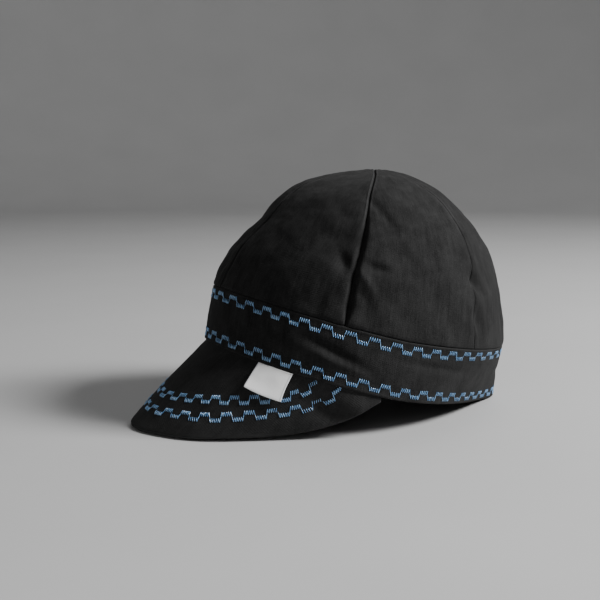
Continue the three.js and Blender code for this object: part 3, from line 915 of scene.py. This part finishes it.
def make_thread():
    """Uneven blues along the thread, the plies in the relief, and a glossy coat."""
    material, tree = new_material("blue_polyester_thread")
    spot = add_node(tree, "ShaderNodeTexCoord").outputs["Object"]
    shades = add_node(tree, "ShaderNodeTexNoise", Vector=spot, Scale=SHADES_A_METRE,
                      Detail=2).outputs["Fac"]
    fade = add_node(tree, "ShaderNodeMapRange", Value=shades, _1=0.35, _2=0.65).outputs[0]
    colour = add_node(tree, "ShaderNodeMix", {"data_type": "RGBA"}, _0=fade,
                      _6=linear(THREAD_DEEP_BLUE), _7=linear(THREAD_PALE_BLUE)).outputs[2]
    plies = add_node(tree, "ShaderNodeTexNoise", Vector=spot, Scale=PLIES_A_METRE,
                     Detail=1).outputs["Fac"]
    bump = add_node(tree, "ShaderNodeBump", Strength=0.3, Distance=0.0001, Height=plies).outputs[0]
    shader = add_node(tree, "ShaderNodeBsdfPrincipled", Base_Color=colour, Roughness=0.28, Normal=bump,
                      IOR=1.6, Specular_IOR_Level=1, Coat_Weight=0.8, Coat_Roughness=0.25)
    add_node(tree, "ShaderNodeOutputMaterial", Surface=shader.outputs[0])
    return material


blue_thread = make_thread()


def sew_row(name, points):
    """One thread along the points, in millimetres, with a round section, as a mesh."""
    curve = bpy.data.curves.new(name, "CURVE")
    curve.dimensions = "3D"
    curve.bevel_depth = THREAD_RADIUS * MM
    curve.bevel_resolution = 1
    curve.use_fill_caps = True
    line = curve.splines.new("POLY")
    line.points.add(len(points) - 1)
    flat = np.concatenate([points * MM, np.ones((len(points), 1))], axis=1)
    line.points.foreach_set("co", flat.ravel())
    holder = bpy.data.objects.new(name, curve)
    bpy.context.collection.objects.link(holder)
    solid = holder.evaluated_get(bpy.context.evaluated_depsgraph_get())
    thread = bpy.data.meshes.new_from_object(solid)
    thread_mesh = bmesh.new()
    thread_mesh.from_mesh(thread)
    bpy.data.objects.remove(holder)
    bpy.data.meshes.remove(thread)
    bpy.data.curves.remove(curve)
    finish_piece(name, thread_mesh, blue_thread, "cotton")


# The blocks of the band's rows have slipped on near the left of the front, less and less within so
# many degrees before and after that place. The band is walked in small steps to find it
CROWDED_ANGLE = 25
CROWDED_BEFORE = 28
CROWDED_AFTER = 19
ARC_POINTS = 2601


def walk(points):
    """Distance walked along a line of points, in millimetres."""
    return np.concatenate([[0], np.cumsum(np.linalg.norm(np.diff(points, axis=0), axis=1))])


def band_arc():
    """Distance walked round the middle of the band from the front, for more than a full turn."""
    angle = np.linspace(-1, 2 * math.pi + 1, ARC_POINTS)
    walked = walk(band_plain(angle, 0 * angle + 0.5))
    walked = walked - np.interp(0, angle, walked)
    return angle, walked, np.interp(2 * math.pi, angle, walked)


def crowded(angle, most):
    """How far the blocks have slipped on, in millimetres."""
    away = angle - math.radians(CROWDED_ANGLE)
    away = np.degrees(np.arctan2(np.sin(away), np.cos(away)))
    return most * hump(away, np.where(away > 0, CROWDED_AFTER, CROWDED_BEFORE))


def sew_band_row(name, count, phase, low, slip, from_top):
    """A row round the band, low above its lower edge or below its upper one."""
    angles, walked, total = band_arc()
    period = total / count
    path = stitch_path(count + 1, period, phase + count // 2 * period)
    path = path[path[:, 0] < path[0, 0] + total]
    slipped = walked - crowded(angles, slip)
    angle = np.interp(np.mod(path[:, 0], total), slipped, angles)
    height = band_height(angle)
    up = low + path[:, 1]
    share = (height - up if from_top else up) / height
    points = band_face(angle, share) + outward(band_plain, angle, share) * path[:, 2:]
    sew_row(name, points)


sew_band_row("stitching_band_lower", count=40, phase=9, low=2, slip=5, from_top=False)
sew_band_row("stitching_band_upper", count=39, phase=2.3, low=2.1, slip=7.2, from_top=True)

# Middle lines of the two rows on the peak, from its middle to its side, as shares across it and
# out from the band
PEAK_ROW_INNER = {
    "across": [0, 0.18, 0.36, 0.52, 0.62, 0.66, 0.695],
    "out": [0.622, 0.59, 0.527, 0.435, 0.33, 0.22, 0.03],
}
PEAK_ROW_OUTER = {
    "across": [0, 0.2, 0.4, 0.55, 0.68, 0.74, 0.78, 0.81],
    "out": [0.785, 0.77, 0.74, 0.662, 0.54, 0.42, 0.25, 0.03],
}

# Points of a row's middle line, and the step along it over which its direction is taken
PEAK_ROW_POINTS = 1201
LOOK_AHEAD = 0.004


def sew_peak_row(name, table, period, phase):
    """A row across the peak, with its blocks stepping to and from the edge."""
    half = list(zip(table["across"], table["out"]))
    rows = np.array([(-across, out) for across, out in half[:0:-1]] + half)
    places = np.linspace(-1, 1, len(rows))
    fine = np.linspace(-1, 1, PEAK_ROW_POINTS)
    across = read_table(places, rows[:, 0], fine)
    out = read_table(places, rows[:, 1], fine)
    walked = walk(peak_plain(across, out))
    walked = walked - walked[PEAK_ROW_POINTS // 2]
    before = math.ceil(-walked[0] / period) + 1
    path = stitch_path(2 * before, period, phase - before * period)
    path = path[(path[:, 0] > walked[0]) & (path[:, 0] < walked[-1])]
    at = np.interp(path[:, 0], walked, fine)
    a = np.interp(at, fine, across)
    b = np.interp(at, fine, out)
    base = peak_plain(a, b)
    further = at + LOOK_AHEAD
    ahead = peak_plain(np.interp(further, fine, across), np.interp(further, fine, out)) - base
    up = peak_up(a, b)
    aside = np.cross(up, ahead)
    aside = aside / np.linalg.norm(aside, axis=1, keepdims=True)
    middle = BLOCK_STEP / 2 + BLOCK_HEIGHT / 2
    lifted = peak_relief(a, b) + path[:, 2]
    sew_row(name, base + aside * (path[:, 1:2] - middle) + up * lifted[:, None])


sew_peak_row("stitching_peak_inner", PEAK_ROW_INNER, period=12.2, phase=5.6)
sew_peak_row("stitching_peak_outer", PEAK_ROW_OUTER, period=13.6, phase=3.2)


# Floor, light and camera
# The cap lies on a plain pale table top that curves up into a round wall. One strong soft lamp
# stands high to the right of the camera's view, and two weak ones fill in from above and from
# beside the camera, which is where the photo's was.

FLOOR_GREY = "a6a6a6"
FLOOR_PALE_GREY = "afafaf"


def make_floor():
    """Matt pale laminate: even and faintly clouded, without a mirror image of the cap."""
    material, tree = new_material("pale_table_top")
    spot = add_node(tree, "ShaderNodeTexCoord").outputs["Object"]
    cloud = add_node(tree, "ShaderNodeTexNoise", Vector=spot, Scale=6, Detail=4).outputs["Fac"]
    colour = add_node(tree, "ShaderNodeMix", {"data_type": "RGBA"}, _0=cloud, _6=linear(FLOOR_GREY),
                      _7=linear(FLOOR_PALE_GREY)).outputs[2]
    shader = add_node(tree, "ShaderNodeBsdfPrincipled", Base_Color=colour, Roughness=0.55)
    add_node(tree, "ShaderNodeOutputMaterial", Surface=shader.outputs[0])
    return material


# The flat floor's radius, the bend's radius and the wall's height, in metres. The floor lies a
# fifth of a millimetre below the cap, so that the two faces never meet
COVE_FLAT = 2.2
COVE_BEND = 1.2
COVE_WALL = 1.5
COVE_STEPS = 96
COVE_BEND_STEPS = 12
COVE_SAME_POINT = 1e-5
FLOOR_DROP = 0.0002

floor_mesh = bmesh.new()
profile = [(0, 0), (COVE_FLAT, 0)]
for step in range(1, COVE_BEND_STEPS + 1):
    turn = math.pi / 2 * step / COVE_BEND_STEPS
    profile.append((COVE_FLAT + COVE_BEND * math.sin(turn), COVE_BEND * (1 - math.cos(turn))))
profile.append((COVE_FLAT + COVE_BEND, COVE_BEND + COVE_WALL))
line = [floor_mesh.verts.new((away, 0, up - FLOOR_DROP)) for away, up in profile]
outline = [floor_mesh.edges.new(pair) for pair in zip(line, line[1:])]
bmesh.ops.spin(floor_mesh, geom=line + outline, cent=(0, 0, 0), axis=(0, 0, 1), angle=2 * math.pi,
               steps=COVE_STEPS, use_merge=True)
bmesh.ops.remove_doubles(floor_mesh, verts=floor_mesh.verts, dist=COVE_SAME_POINT)
bmesh.ops.recalc_face_normals(floor_mesh, faces=floor_mesh.faces)
bmesh.ops.reverse_faces(floor_mesh, faces=floor_mesh.faces)
floor = add_object("floor", floor_mesh, make_floor())

LOOK_AT = Vector((0, 0, 0.08))
LAMPS = [
    {"name": "key", "place": (0.9, 1.3, 1.25), "size": 0.6, "watts": 92},
    {"name": "top", "place": (-0.5, 0.6, 1.5), "size": 0.8, "watts": 5},
    {"name": "fill", "place": (1.3, -0.9, 0.8), "size": 1.2, "watts": 4},
]
for lamp in LAMPS:
    light = bpy.data.lights.new(lamp["name"], "AREA")
    light.size = lamp["size"]
    light.energy = lamp["watts"]
    holder = bpy.data.objects.new(lamp["name"], light)
    holder.location = lamp["place"]
    holder.rotation_euler = (LOOK_AT - holder.location).to_track_quat("-Z", "Y").to_euler()
    bpy.context.collection.objects.link(holder)

# The air of the room gives a faint even light
ROOM_GREY = "c6c6c6"
ROOM_STRENGTH = 0.15
world = bpy.data.worlds.new("pale_room")
bpy.context.scene.world = world
world.use_nodes = True
world.node_tree.nodes["Background"].inputs["Color"].default_value = linear(ROOM_GREY)
world.node_tree.nodes["Background"].inputs["Strength"].default_value = ROOM_STRENGTH

# The camera looks down at the cap from the wearer's left, a little from the front, as the photo's
# did. Its lens follows from the photo's width and its focal length, both in pixels
CAMERA_PLACE = Vector((617.5, -285.6, 170.6)) * MM
CAMERA_HEADING = math.radians(66.381)
CAMERA_PITCH = math.radians(8.253)
FRAME_WIDTH = 600
FOCAL_PIXELS = 1055.2
SENSOR_WIDTH = 36
NEAREST_SEEN = 0.01
camera_data = bpy.data.cameras.new("photo_camera")
camera_data.sensor_fit = "HORIZONTAL"
camera_data.sensor_width = SENSOR_WIDTH
camera_data.lens = FOCAL_PIXELS / FRAME_WIDTH * SENSOR_WIDTH
camera_data.clip_start = NEAREST_SEEN
camera = bpy.data.objects.new("photo_camera", camera_data)
camera.location = CAMERA_PLACE
ahead = Vector((-math.sin(CAMERA_HEADING) * math.cos(CAMERA_PITCH),
                math.cos(CAMERA_HEADING) * math.cos(CAMERA_PITCH), -math.sin(CAMERA_PITCH)))
camera.rotation_euler = ahead.to_track_quat("-Z", "Y").to_euler()
bpy.context.collection.objects.link(camera)
bpy.context.scene.camera = camera
